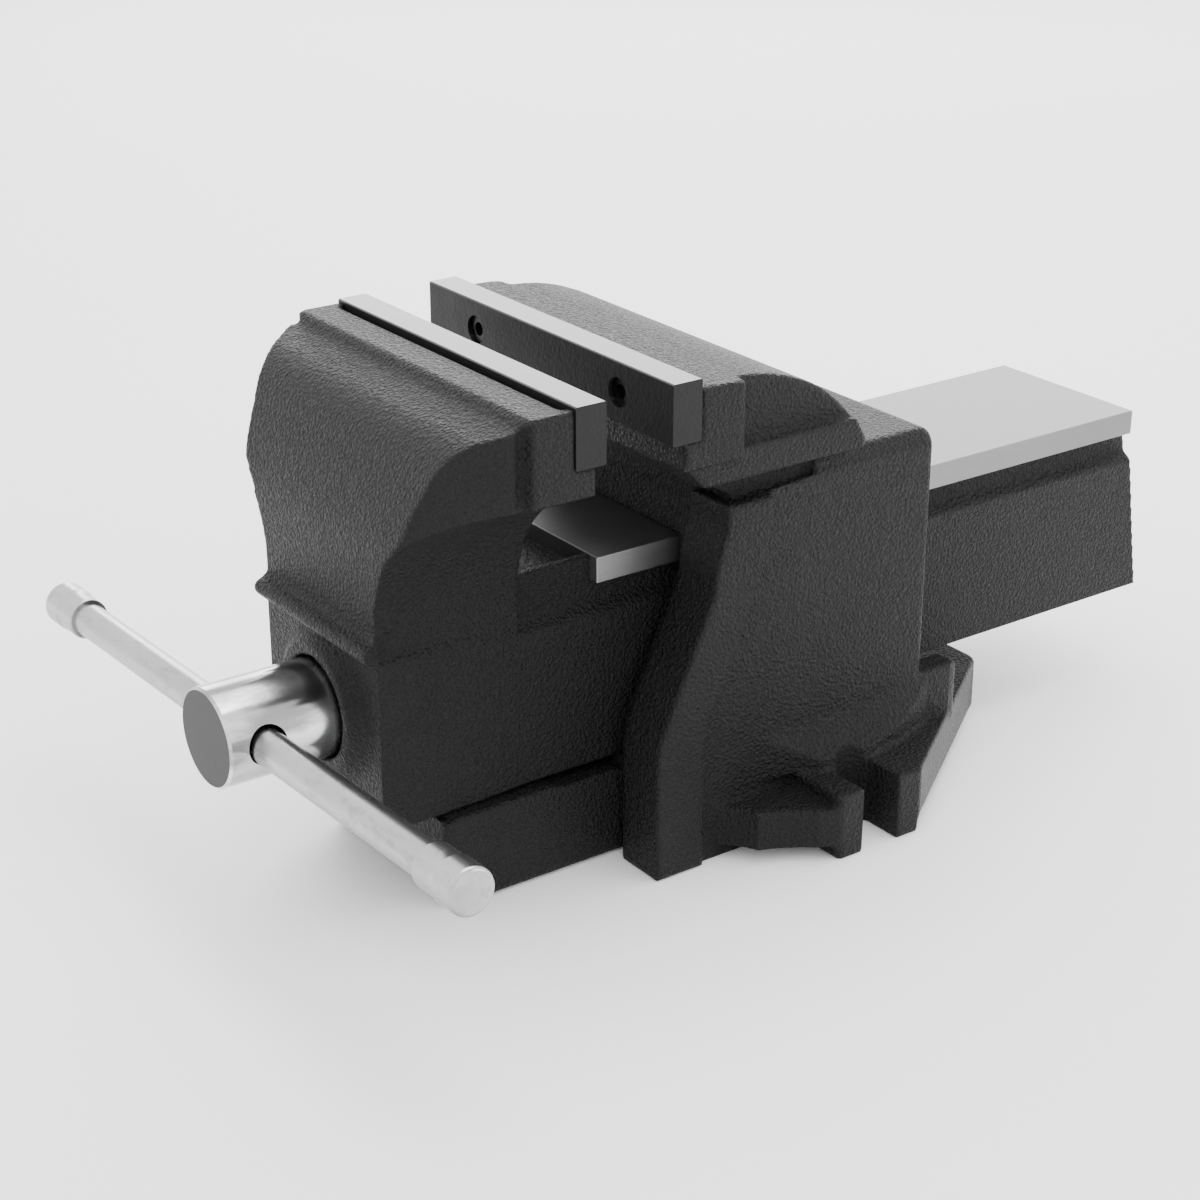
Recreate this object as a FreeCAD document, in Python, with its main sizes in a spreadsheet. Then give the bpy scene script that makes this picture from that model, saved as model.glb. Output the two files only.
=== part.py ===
"""Heavy fixed-base bench vise, 200 mm jaws, as an assembly of separate pieces.

Frame, in millimetres: +Z up from the mounting plane, +X across the jaws, +Y from the moving jaw
towards the fixed jaw. The origin lies on the mounting plane, straight below the middle of the
fixed jaw's gripping face. Pieces that travel with the moving jaw are drawn with its gripping face
at y = 0 and then placed one jaw opening in front of the fixed face.
"""
import FreeCAD, Part
import math
import os

import Sketcher
from FreeCAD import Placement, Rotation, Vector

os.makedirs("parts", exist_ok=True)
doc = FreeCAD.newDocument("BenchVise")


# ---------------------------------------------------------------- driving dimensions

DIMENSIONS = {
    # jaws
    "jaw_width": 200,
    "jaw_opening": 36,
    "jaw_top": 254,
    "plate_height": 29,
    "plate_thickness": 16,
    "plate_screw_spacing": 117,
    "plate_screw_drop": 14.6,
    "counterbore_radius": 7,
    "counterbore_depth": 8,
    "screw_hole_radius": 4.2,
    "screw_head_radius": 6.6,
    "screw_head_height": 6,
    "screw_shank_radius": 4,
    "screw_length": 24,
    "screw_key_radius": 3.4,
    "block_underside": 211,
    "block_top": 252.2,
    "hump_front_height": 248.5,
    "jaw_undercut": 5,
    # moving casting
    "slide_width": 99,
    "slide_top": 157,
    "slide_bottom": 50,
    "slide_front": 89,
    "slide_rear": 390,
    "slide_rear_slant": 15.5,
    "front_half_width": 51.3,
    "slide_wall": 11,
    "slide_roof": 15,
    "front_wall": 27,
    "flange_thickness": 13,
    "flange_start": 31,
    "neck_depth": 5,
    "neck_bottom": 133,
    "shoulder_bottom": 128,
    "head_side": 97,
    "bead_height": 140,
    "bead_reach": 6,
    "boss_radius": 39,
    "recess_radius": 25.2,
    # spindle
    "axis_height": 96,
    "head_front": 150,
    "head_rear": 86,
    "head_radius": 24,
    "bar_behind_face": 19,
    "journal_radius": 15,
    "running_gap": 0.08,
    "screw_end": 345,
    "bar_radius": 8.5,
    "bar_hole_radius": 9.7,
    "bar_drop": 0.9,
    "bar_far_end": 196,
    "bar_tilt": 1.8,
    "bar_near_end": 192,
    "knob_radius": 11.1,
    "knob_length": 30,
    # fixed casting
    "body_side": 86,
    "body_rear": 172.5,
    "body_shelf": 188,
    "deck_height": 196,
    "flange_side": 89.6,
    "hump_side": 92,
    "nose_side": 54,
    "nose_front": 94,
    "nose_top": 46,
    "channel_gap": 0.25,
    "lug_reach": 124,
    "lug_height": 34.5,
    "slot_width": 22,
    "slot_centre": 105.5,
    "slot_station": 113.5,
    "base_rear": 252.5,
    "rear_hole_station": 225,
    "rear_hole_radius": 11,
    # nut
    "nut_half_width": 29,
    "nut_front": 62,
    "nut_length": 70,
}

sheet = doc.addObject("Spreadsheet::Sheet", "Dimensions")
for row, (alias, number) in enumerate(DIMENSIONS.items(), start=1):
    sheet.set(f"A{row}", alias)
    sheet.set(f"B{row}", str(number))
    sheet.setAlias(f"B{row}", alias)
doc.recompute()


class Size:
    """A number together with the sheet formula that it comes from."""

    def __init__(self, value, formula):
        self.value = float(value)
        self.formula = formula

    def _join(self, other, sign, swap=False):
        other = size(other)
        first, second = (other, self) if swap else (self, other)
        results = {
            "+": lambda a, b: a + b,
            "-": lambda a, b: a - b,
            "*": lambda a, b: a * b,
            "/": lambda a, b: a / b,
        }
        value = results[sign](first.value, second.value)
        return Size(value, f"({first.formula} {sign} {second.formula})")

    def __add__(self, other):
        return self._join(other, "+")

    def __radd__(self, other):
        return self._join(other, "+", swap=True)

    def __sub__(self, other):
        return self._join(other, "-")

    def __rsub__(self, other):
        return self._join(other, "-", swap=True)

    def __mul__(self, other):
        return self._join(other, "*")

    def __rmul__(self, other):
        return self._join(other, "*", swap=True)

    def __truediv__(self, other):
        return self._join(other, "/")

    def __neg__(self):
        return Size(-self.value, f"(-1 * {self.formula})")


def size(number):
    """Any plain number as a Size."""
    return number if isinstance(number, Size) else Size(number, repr(float(number)))


def driven(alias):
    """The driving dimension of that name."""
    return Size(sheet.get(alias), f"Dimensions.{alias}")


def bind(thing, prop, number):
    """Set a property and tie it to the sheet."""
    number = size(number)
    setattr(thing, prop, number.value)
    thing.setExpression(prop, number.formula)


# ---------------------------------------------------------------- sketches and solids

SKETCH_TURN = {
    "XY": Rotation(),
    "XZ": Rotation(Vector(1, 0, 0), 90),
    "YZ": Rotation(Vector(1, 1, 1), 120),
}


def pin_point(sketch, edge, end, across, up):
    """Hold one end of an edge at its distances from the sketch's origin."""
    for kind, axis, number in (("DistanceX", -2, size(across)), ("DistanceY", -1, size(up))):
        if abs(number.value) < 1e-9:
            sketch.addConstraint(Sketcher.Constraint("PointOnObject", edge, end, axis))
            continue
        if number.value < 0:
            number = -number
            ends = (edge, end, -1, 1)
        else:
            ends = (-1, 1, edge, end)
        index = sketch.addConstraint(Sketcher.Constraint(kind, *ends, number.value))
        sketch.setExpression(f"Constraints[{index}]", number.formula)


def arc_between(start, finish, radius):
    """Arc of a signed radius: positive turns left on its way from start to finish."""
    chord = finish - start
    half = chord.Length / 2
    rise = math.sqrt(max(radius * radius - half * half, 0.0))
    left = Vector(-chord.y, chord.x, 0).normalize()
    centre = start + chord * 0.5 + left * math.copysign(rise, radius)
    circle = Part.Circle(centre, Vector(0, 0, 1), abs(radius))
    angles = [math.atan2(p.y - centre.y, p.x - centre.x) for p in (start, finish)]
    if radius < 0:
        angles.reverse()
    return Part.ArcOfCircle(circle, *angles)


def draw_outline(sketch, corners):
    """Closed outline through the corners. A third value is the radius of the arc that leads to it."""
    points = [Vector(size(c[0]).value, size(c[1]).value, 0) for c in corners]
    count = len(corners)
    edges = []
    ends = []
    for index, corner in enumerate(corners):
        start, finish = points[index - 1], points[index]
        radius = size(corner[2]).value if len(corner) > 2 else 0
        if radius:
            edges.append(arc_between(start, finish, radius))
            ends.append((1, 2) if radius > 0 else (2, 1))
        else:
            edges.append(Part.LineSegment(start, finish))
            ends.append((1, 2))
    sketch.addGeometry(edges, False)
    for index, corner in enumerate(corners):
        following = (index + 1) % count
        sketch.addConstraint(
            Sketcher.Constraint("Coincident", index, ends[index][1], following, ends[following][0])
        )
        pin_point(sketch, index, ends[index][1], corner[0], corner[1])
        if len(corner) > 2:
            radius = size(corner[2])
            radius = -radius if radius.value < 0 else radius
            held = sketch.addConstraint(Sketcher.Constraint("Radius", index, radius.value))
            sketch.setExpression(f"Constraints[{held}]", radius.formula)


def draw_circle(sketch, across, up, radius):
    """A circle held by its centre and radius."""
    centre = Vector(size(across).value, size(up).value, 0)
    index = sketch.addGeometry(Part.Circle(centre, Vector(0, 0, 1), size(radius).value), False)
    pin_point(sketch, index, 3, across, up)
    held = sketch.addConstraint(Sketcher.Constraint("Radius", index, size(radius).value))
    sketch.setExpression(f"Constraints[{held}]", size(radius).formula)


def prism(name, plane, corners, length, start=None):
    """Outline extruded evenly both ways from its plane, or from a start plane along its normal."""
    sketch = doc.addObject("Sketcher::SketchObject", f"{name}_outline")
    sketch.Placement = Placement(Vector(), SKETCH_TURN[plane])
    draw_outline(sketch, corners)
    if start is not None:
        direction = {"XY": "z", "XZ": "y", "YZ": "x"}[plane]
        sketch.setExpression(f".Placement.Base.{direction}", size(start).formula)
    solid = doc.addObject("Part::Extrusion", name)
    solid.Base = sketch
    solid.DirMode = "Normal"
    solid.Solid = True
    solid.Symmetric = start is None
    solid.Reversed = start is not None and plane == "XZ"
    bind(solid, "LengthFwd", length)
    return solid


def box(name, low, high):
    """Block between two corners."""
    solid = doc.addObject("Part::Box", name)
    for side, axis, a, b in zip(("Length", "Width", "Height"), "xyz", low, high):
        bind(solid, side, size(b) - size(a))
        solid.setExpression(f".Placement.Base.{axis}", size(a).formula)
    return solid


def cylinder(name, radius, length, base, direction):
    """Round bar or bore from its base point along an axis."""
    solid = doc.addObject("Part::Cylinder", name)
    bind(solid, "Radius", radius)
    bind(solid, "Height", length)
    turn = Rotation(Vector(0, 0, 1), direction)
    solid.Placement = Placement(Vector(*(size(value).value for value in base)), turn)
    for axis, value in zip("xyz", base):
        solid.setExpression(f".Placement.Base.{axis}", size(value).formula)
    return solid


def combined(kind, name, pieces):
    """One boolean of several solids."""
    solid = doc.addObject(kind, name)
    solid.Shapes = pieces
    solid.Refine = True
    return solid


def fused(name, pieces):
    return combined("Part::MultiFuse", name, pieces)


def common(name, pieces):
    return combined("Part::MultiCommon", name, pieces)


def cut(name, base, tools):
    """The base less its tools."""
    solid = doc.addObject("Part::Cut", name)
    solid.Base = base
    solid.Tool = tools[0] if len(tools) == 1 else fused(f"{name}_tools", tools)
    solid.Refine = True
    return solid


def rounded(name, base, radius, choose):
    """The base with every edge that choose(edge) accepts rounded."""
    doc.recompute()
    picked = [i for i, edge in enumerate(base.Shape.Edges, start=1) if choose(edge)]
    solid = doc.addObject("Part::Fillet", name)
    solid.Base = base
    solid.Edges = [(index, radius, radius) for index in picked]
    doc.recompute()
    if not picked or solid.Shape.isNull() or not solid.Shape.isValid():
        raise RuntimeError(f"{name}: no rounding of {len(picked)} edges")
    return solid


def straight_along(edge, axis):
    """Whether the edge is a straight line along X, Y or Z."""
    if not isinstance(edge.Curve, (Part.Line, Part.LineSegment)):
        return False
    return abs(getattr(edge.tangentAt(edge.FirstParameter), axis)) > 0.999


def end_faces(axis, reach):
    """Chooses the edges that lie wholly in the two planes at plus and minus reach along the axis."""
    def choose(edge):
        low = getattr(edge.BoundBox, f"{axis}Min")
        high = getattr(edge.BoundBox, f"{axis}Max")
        return high - low < 0.01 and abs(abs(low) - reach) < 0.01
    return choose


# ---------------------------------------------------------------- turned and flat pieces

def new_body(label):
    body = doc.addObject("PartDesign::Body", label)
    body.Label = label
    return body


def origin_feature(body, role):
    return next(item for item in body.Origin.OriginFeatures if item.Role == role)


def body_sketch(body, name, plane):
    sketch = body.newObject("Sketcher::SketchObject", name)
    sketch.AttachmentSupport = [(origin_feature(body, f"{plane}_Plane"), "")]
    sketch.MapMode = "FlatFace"
    return sketch


def turned(label, axis, profile):
    """Piece turned about X or Y. The profile's corners are (radius, station along the axis)."""
    body = new_body(label)
    sketch = body_sketch(body, f"{label}_profile", "XY")
    if axis == "X":
        corners = [(station, radius, *rest) for radius, station, *rest in profile]
    else:
        corners = list(profile)
    draw_outline(sketch, corners)
    turn = body.newObject("PartDesign::Revolution", f"{label}_turned")
    turn.Profile = sketch
    turn.ReferenceAxis = (origin_feature(body, f"{axis}_Axis"), [""])
    turn.Angle = 360
    body.Tip = turn
    return body


def pocket(body, name, plane, circles, depth, reverse):
    """Round pockets sunk from an origin plane; the solid has to lose volume."""
    doc.recompute()
    before = body.Shape.Volume
    sketch = body_sketch(body, f"{name}_circles", plane)
    for across, up, radius in circles:
        draw_circle(sketch, across, up, radius)
    feature = body.newObject("PartDesign::Pocket", name)
    feature.Profile = sketch
    bind(feature, "Length", depth)
    feature.Reversed = reverse
    body.Tip = feature
    doc.recompute()
    if not body.Shape.Volume < before - 1:
        raise RuntimeError(f"{name} cuts nothing")


def place(piece, x=0, y=0, z=0, turn=None):
    """Put a piece at its station, tied to the sheet."""
    stations = [size(value) for value in (x, y, z)]
    piece.Placement = Placement(Vector(*(s.value for s in stations)), turn or Rotation())
    for axis, station in zip("xyz", stations):
        piece.setExpression(f".Placement.Base.{axis}", station.formula)


jaw_half = driven("jaw_width") / 2
jaw_top = driven("jaw_top")
plate_bottom = jaw_top - driven("plate_height")
plate_thickness = driven("plate_thickness")
block_underside = driven("block_underside")
block_top = driven("block_top")
hump_front = driven("hump_front_height")
undercut = driven("jaw_undercut")
slide_half = driven("slide_width") / 2
slide_top = driven("slide_top")
slide_bottom = driven("slide_bottom")
slide_front = driven("slide_front")
slide_rear = driven("slide_rear")
axis_height = driven("axis_height")
running_gap = driven("running_gap")
journal_radius = driven("journal_radius")
opening = driven("jaw_opening")
screw_drop = driven("plate_screw_drop")
screw_half_spacing = driven("plate_screw_spacing") / 2
ALONG_X = Vector(1, 0, 0)
ALONG_Y = Vector(0, 1, 0)
ALONG_Z = Vector(0, 0, 1)
BAR_TURN = Rotation(ALONG_Y, -DIMENSIONS["bar_tilt"])


def screw_holes(name, face, direction):
    """Two blind holes for the jaw plate's screws, from the seat behind the plate."""
    depth = driven("screw_length")
    return [
        cylinder(f"{name}_{side}", driven("screw_hole_radius"), depth,
                 (sign * screw_half_spacing, face, jaw_top - screw_drop), direction)
        for side, sign in (("left", -1), ("right", 1))
    ]


# ---------------------------------------------------------------- jaw plates and their screws

def jaw_plate(label):
    """Hardened plate: gripping face at y = 0, body behind it towards +Y, its foot at z = 0."""
    body = new_body(label)
    sketch = body_sketch(body, f"{label}_face", "XZ")
    height = driven("plate_height")
    draw_outline(sketch, [(-jaw_half, 0), (jaw_half, 0), (jaw_half, height), (-jaw_half, height)])
    pad = body.newObject("PartDesign::Pad", f"{label}_pad")
    pad.Profile = sketch
    bind(pad, "Length", plate_thickness)
    pad.Reversed = True
    body.Tip = pad
    centres = [(sign * screw_half_spacing, height - screw_drop) for sign in (-1, 1)]
    for name, radius, depth in (
        ("counterbores", driven("counterbore_radius"), driven("counterbore_depth")),
        ("screw_holes", driven("screw_hole_radius"), plate_thickness),
    ):
        circles = [(across, up, radius) for across, up in centres]
        pocket(body, f"{label}_{name}", "XZ", circles, depth, False)
    edges = [f"Edge{i}" for i, edge in enumerate(body.Shape.Edges, start=1)
             if straight_along(edge, "x")]
    drilled = body.Tip
    chamfer = body.newObject("PartDesign::Chamfer", f"{label}_chamfer")
    chamfer.Base = (drilled, edges)
    chamfer.Size = 0.6
    body.Tip = chamfer
    return body


def plate_screw(label):
    """Socket-head screw along +Y with its head's face at y = 0."""
    head_radius = driven("screw_head_radius")
    head_height = driven("screw_head_height")
    shank_radius = driven("screw_shank_radius")
    key_radius = driven("screw_key_radius")
    key_depth = head_height / 2
    length = driven("screw_length")
    return turned(label, "Y", [
        (0, key_depth), (key_radius, key_depth), (key_radius, 0), (head_radius, 0),
        (head_radius, head_height), (shank_radius, head_height),
        (shank_radius, head_height + length), (0, head_height + length),
    ])


# ---------------------------------------------------------------- moving jaw casting

def moving_jaw_casting():
    """Head, hollow slide and front boss, with the gripping face at y = 0."""
    # Side profile of the head: ledge for the plate, flat block, small step, then a front that
    # rolls over and drops to the upright lower face.
    crown = block_top - 9.2
    chin = driven("bead_height") - 6
    profile = prism("head_profile", "YZ", [
        (-undercut, block_underside),
        (-undercut, plate_bottom),
        (-plate_thickness, plate_bottom),
        (-plate_thickness, block_top),
        (-36, block_top),
        (-38, block_top - 0.6, 2.4),
        (-40, block_top - 2.4),
        (-43, block_top - 4.6, -4),
        (-58, crown),
        (-77, 221, 34),
        (-87, 196, 95),
        (-slide_front, 178, 82),
        (-slide_front, chin),
        (-13, chin),
        (-13, block_underside),
    ], jaw_half * 2)

    # Seen from above, the block is full width and the head behind it draws in towards the front.
    side = driven("head_side")
    plan = prism("head_plan", "XY", [
        (-jaw_half, -38), (-jaw_half, 0), (jaw_half, 0), (jaw_half, -38),
        (side - 1.8, -40), (side - 1.8, -43), (side, -45.5), (73, -82), (58, -92, -18),
        (-58, -92), (-73, -82, -18), (-side, -45.5), (-side + 1.8, -43), (-side + 1.8, -40),
    ], block_top, start=chin)

    # Seen from the front, broad wings sweep down into the slide's width.
    shield = prism("head_shield", "XZ", [
        (-jaw_half, block_underside), (-side, block_underside),
        (-slide_half, 152, -62),
        (-slide_half, chin), (slide_half, chin), (slide_half, 152),
        (side, block_underside, -62),
        (jaw_half, block_underside), (jaw_half, jaw_top), (-jaw_half, jaw_top),
    ], 2 * slide_front + 40)
    head = common("moving_head", [profile, plan, shield])

    # Section of the slide: machined flange, inset neck, sloping shoulder, open box below.
    neck_half = slide_half - driven("neck_depth")
    inner_half = slide_half - driven("slide_wall")
    flange_bottom = slide_top - driven("flange_thickness")
    neck_bottom = driven("neck_bottom")
    shoulder = driven("shoulder_bottom")
    roof = slide_top - driven("slide_roof")
    right_side = [
        (inner_half, slide_bottom), (slide_half, slide_bottom), (slide_half, shoulder),
        (neck_half, neck_bottom), (neck_half, flange_bottom), (slide_half, flange_bottom),
        (slide_half, slide_top),
    ]
    left_side = [(-across, up) for across, up in reversed(right_side)]
    inside = [(-inner_half, roof - 8), (-inner_half + 8, roof, -8),
              (inner_half - 8, roof), (inner_half, roof - 8, -8)]
    start = driven("flange_start")
    slide = prism("slide_section", "XZ", right_side + left_side + inside,
                  slide_rear + driven("slide_rear_slant") - start, start=start)
    rear_slant = prism("slide_rear_slant", "YZ", [
        (slide_rear, slide_top + 1), (slide_rear, flange_bottom),
        (slide_rear + driven("slide_rear_slant"), slide_bottom - 1),
        (slide_rear + 40, slide_bottom - 1), (slide_rear + 40, slide_top + 1),
    ], 2 * slide_half + 10)

    # Between the head and the flange the neck runs on below a cast floor.
    floor = slide_top - 0.5
    wall_right = [(inner_half, slide_bottom), (slide_half, slide_bottom), (slide_half, shoulder),
                  (neck_half, neck_bottom), (neck_half, floor)]
    wall_left = [(-across, up) for across, up in reversed(wall_right)]
    throat = prism("throat_section", "XZ", wall_right + wall_left + inside, start + 14, start=-14)

    front_half = driven("front_half_width")
    front = prism("front_block", "XY", [
        (-front_half, -slide_front), (front_half, -slide_front), (front_half, -slide_front + 20),
        (slide_half, -20), (slide_half, -13), (-slide_half, -13), (-slide_half, -20),
        (-front_half, -slide_front + 20),
    ], chin + 1 - slide_bottom, start=slide_bottom)
    rear_of_front = -slide_front + driven("front_wall")
    hollow = prism("front_hollow", "XZ", [
        *inside, (inner_half, slide_bottom - 1), (-inner_half, slide_bottom - 1),
    ], 200, start=rear_of_front)

    # The space under the jaw block, with its rounded front end and a scooped floor.
    throat_cut = prism("throat_cut", "YZ", [
        (-13, block_underside), (-13, floor + 12), (-1, floor, 12), (start, floor),
        (start, block_underside),
    ], jaw_half * 2)
    scoop = prism("scoop_cut", "YZ", [
        (-12, floor + 9), (8, floor - 8, 24), (start, floor - 8), (start, floor + 9),
    ], 2 * (neck_half - 5))
    # A rounded rib crosses the front below the bulge; a low boss surrounds the spindle.
    reach = driven("bead_reach")
    bead = driven("bead_height")
    rib = prism("front_rib", "YZ", [
        (-slide_front + 1, bead - 6), (-slide_front - reach + 2, bead - 5),
        (-slide_front - reach + 2, bead + 3, -4.2), (-slide_front + 1, bead + 7, 9),
    ], 2 * front_half + 1)
    rib = rounded("front_rib_rounded", rib, 2.0, end_faces("X", front_half.value + 0.5))
    boss = doc.addObject("Part::Cone", "spindle_boss")
    bind(boss, "Radius1", driven("boss_radius"))
    bind(boss, "Radius2", driven("boss_radius") - 8)
    bind(boss, "Height", 6)
    place(boss, 0, -slide_front + 0.5, axis_height, Rotation(ALONG_X, 90))

    solid = fused("moving_solid", [head, front, slide, throat, rib, boss])
    recess = cylinder("head_recess", driven("recess_radius"), 30,
                      (0, -slide_front - 22, axis_height), ALONG_Y)
    journal = cylinder("journal_bore", journal_radius + running_gap, 80,
                       (0, -slide_front - 22, axis_height), ALONG_Y)
    tapped = screw_holes("moving_tapped_hole", -plate_thickness, -ALONG_Y)
    # A sloping groove parts the block from the plate; it stops short of both ends.
    groove = prism("plate_groove", "YZ", [
        (-plate_thickness + 1, block_top + 1), (-plate_thickness + 1, block_top - 5.5),
        (-plate_thickness, block_top - 5.5), (-plate_thickness - 4, block_top),
        (-plate_thickness - 4, block_top + 1),
    ], 2 * jaw_half - 12)
    casting = cut("moving_rough", solid, [
        hollow, rear_slant, throat_cut, scoop, recess, journal, groove, *tapped,
    ])
    doc.recompute()
    return casting


# ---------------------------------------------------------------- fixed jaw casting

FRONT_CURVE = [(0, 0), (0, 60), (3.7, 78, -46), (32, 142), (39, 173, -80), (38.5, 184.5)]
REAR_CURVE = [(66, 184.5), (65, 171), (60, 146, -60), (36, 88), (28, 67, 46), (28, 0)]


def fixed_jaw_casting():
    """Jaw block and hump, body with the slide's channel, nose, and base with its lugs."""
    shelf = driven("body_shelf")
    deck = driven("deck_height")
    body_rear = driven("body_rear")
    body_side = driven("body_side")
    flange_side = driven("flange_side")
    rear_top = 9

    # Front wall of the body follows the columns, set back by 8 mm.
    setback = 10
    wall = [(across + setback, up, *rest) for across, up, *rest in FRONT_CURVE]
    body = prism("body_panel", "YZ", wall + [
        (100, shelf), (body_rear, shelf), (body_rear, 0),
    ], 2 * body_side)
    body = rounded("body_panel_rounded", body, 4.5,
                   lambda e: straight_along(e, "z") and e.BoundBox.YMin > body_rear.value - 1)

    columns = [
        prism(f"column_{side}", "YZ", [(2 + across, up, *rest) for across, up, *rest in
                                       FRONT_CURVE + REAR_CURVE],
              flange_side - 60, start=start)
        for side, start in (("left", -flange_side), ("right", 60))
    ]

    # Neck below the jaw block: a slanted front, a groove, and a plinth that carries the hump.
    neck = prism("neck", "YZ", [
        (48, shelf - 2), (7, block_underside), (7, block_underside + 4),
        (112, block_underside + 4), (126, shelf - 2),
    ], 2 * 82)
    plinth = prism("plinth", "YZ", [
        (18, 203), (10, block_underside), (10, block_underside + 4), (112, block_underside + 4),
        (118, 204), (117, 199), (22, 199),
    ], 2 * 96)
    plinth = rounded("plinth_rounded", plinth, 1.5, end_faces("X", 96))
    deck_profile = prism("deck", "YZ", [
        (96, shelf - 6), (96, deck), (body_rear - rear_top, deck),
        (body_rear, deck - rear_top, -rear_top), (body_rear, shelf - 6),
    ], 2 * (body_side - 1))
    deck_edges = end_faces("X", body_side.value - 1)
    deck_profile = rounded("deck_rounded", deck_profile, 4.0,
                           lambda e: deck_edges(e) and e.BoundBox.ZMax > shelf.value - 5
                           and e.BoundBox.YMax > 97)

    block = prism("fixed_block", "YZ", [
        (7, block_underside), (7, plate_bottom), (plate_thickness, plate_bottom),
        (plate_thickness, hump_front + 1), (42, hump_front - 0.5), (42, block_underside),
    ], 2 * jaw_half)
    block = rounded("fixed_block_rounded", block, 3.0,
                    lambda e: straight_along(e, "z") and e.BoundBox.YMin > 41)
    hump = prism("hump", "YZ", [
        (30, block_underside), (30, hump_front), (46, 247.5), (79, 239.5, -95),
        (101, 226, -68), (114, block_underside + 1, -60),
    ], 2 * driven("hump_side"))
    hump = rounded("hump_rounded", hump, 1.8,
                   lambda e: abs(abs(e.BoundBox.XMin) - 92) < 0.1
                   and e.BoundBox.XMax - e.BoundBox.XMin < 0.1 and e.BoundBox.ZMax > 224
                   and e.BoundBox.YMax > 44)

    # Nose below the slide, in front of the columns.
    nose_side = driven("nose_side")
    nose_front = driven("nose_front")
    nose_top = driven("nose_top")
    nose = prism("nose", "YZ", [
        (14, 0), (14, nose_top), (-nose_front, nose_top), (-nose_front, 10), (10 - nose_front, 0, 10),
    ], 2 * nose_side)
    nose = rounded("nose_rounded", nose, 4.0,
                   lambda e: straight_along(e, "z") and e.BoundBox.YMax < 0)
    rail = box("nose_rail", (-nose_side, -nose_front + 6, nose_top - 1), (nose_side, -32, nose_top + 1.7))

    # Base: web between column and lug, raised lugs with open slots, tapered tail plate.
    reach = driven("lug_reach")
    lug_height = driven("lug_height")
    base_rear = driven("base_rear")
    half = [(0, 20), (80, 20), (84, 34), (104, 52, -36), (119, 78, -75), (reach, 88),
            (reach, 138.5), (49, 245), (42, base_rear - 1, 10), (38, base_rear)]
    web = prism("base_web", "XY", mirrored_arcs(half), 21, start=7)
    pads = [
        prism(f"lug_pad_{side}", "XY", [
            (sign * 80, 86), (sign * (reach - 4), 86), (sign * reach, 90, sign * 4),
            (sign * reach, 138.5), (sign * 80, 160),
        ], lug_height, start=0)
        for side, sign in (("left", -1), ("right", 1))
    ]
    tail = prism("tail_plate", "XY", [
        (-80, 120), (80, 120), (reach, 132), (reach, 138.5), (49, 245), (38, base_rear, 12),
        (-38, base_rear), (-49, 245, 12), (-reach, 138.5), (-reach, 132),
    ], 20.5, start=14)
    tail_foot = cylinder("tail_foot", 25, 20, (0, driven("rear_hole_station"), 0), ALONG_Z)
    # The body's sides flare out to the base along a line that swells beside the lugs.
    skirt_plan = prism("skirt_plan", "XY", [
        (86, 66), (90, 82), (98, 98), (99, 128), (94, 152), (86, 176),
        (-86, 176), (-94, 152), (-99, 128), (-98, 98), (-90, 82), (-86, 66),
    ], 30, start=lug_height - 1)
    skirt_section = prism("skirt_section", "XZ", [
        (-100, lug_height - 2), (100, lug_height - 2), (100, lug_height + 5),
        (86, lug_height + 24, -26), (-86, lug_height + 24), (-100, lug_height + 5, -26),
    ], 2 * 180)
    skirt = common("base_skirt", [skirt_plan, skirt_section])
    ribs = [
        box(f"tail_rib_{side}", (low, body_rear - 2, 30), (high, 198, 62))
        for side, low, high in (("left", -84, -70), ("right", 70, 84))
    ]

    solid = fused("fixed_solid", [
        body, *columns, neck, plinth, deck_profile, block, hump, nose, rail, web, *pads, tail,
        tail_foot, skirt, *ribs,
    ])

    gap = driven("channel_gap")
    channel = box("slide_channel", (-slide_half - gap, -120, slide_bottom - gap),
                  (slide_half + gap, 260, slide_top + gap))
    cavity = prism("base_cavity", "XY", [
        (-44, 22), (44, 22), (44, 158), (-44, 158),
    ], 37, start=-1)
    cavity = rounded("base_cavity_rounded", cavity, 8.0, lambda e: straight_along(e, "z"))
    cores = [
        prism(f"side_core_{side}", "YZ", [
            (58, -1), (150, -1), (150, 150), (140, 165, 14), (88, 165), (60, 90),
        ], 14, start=start)
        for side, start in (("left", -75), ("right", 61))
    ]
    slots = []
    slot_half = driven("slot_width") / 2
    centre = driven("slot_centre")
    station = driven("slot_station")
    for side, sign in (("left", -1), ("right", 1)):
        slots.append(cylinder(f"slot_end_{side}", slot_half, 60, (sign * centre, station, -5), ALONG_Z))
        low, high = sorted((sign * centre, sign * (reach + 5)), key=lambda number: number.value)
        slots.append(box(f"slot_{side}", (low, station - slot_half, -5), (high, station + slot_half, 55)))
    rear_hole = cylinder("rear_hole", driven("rear_hole_radius"), 60,
                         (0, driven("rear_hole_station"), -5), ALONG_Z)
    nut_bolt_holes = [
        cylinder(f"nut_bolt_hole_{index}", 6.5, 60, (0, along, 0), ALONG_Z)
        for index, along in enumerate(NUT_BOLTS)
    ]
    tapped = screw_holes("fixed_tapped_hole", plate_thickness, ALONG_Y)
    return cut("fixed_rough", solid, [
        channel, cavity, *cores, *slots, rear_hole, *nut_bolt_holes, *tapped,
    ])


NUT_BOLTS = (80, 114)


def mirrored_arcs(half):
    """Full outline from its right half, which starts and ends on or right of the middle line."""
    left = []
    for index in range(len(half) - 1, 0, -1):
        across, along = half[index][0], half[index][1]
        arc = half[index + 1][2:] if index + 1 < len(half) else ()
        left.append((-across, along, *arc))
    return half + left


# ---------------------------------------------------------------- nut and its bolts

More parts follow.
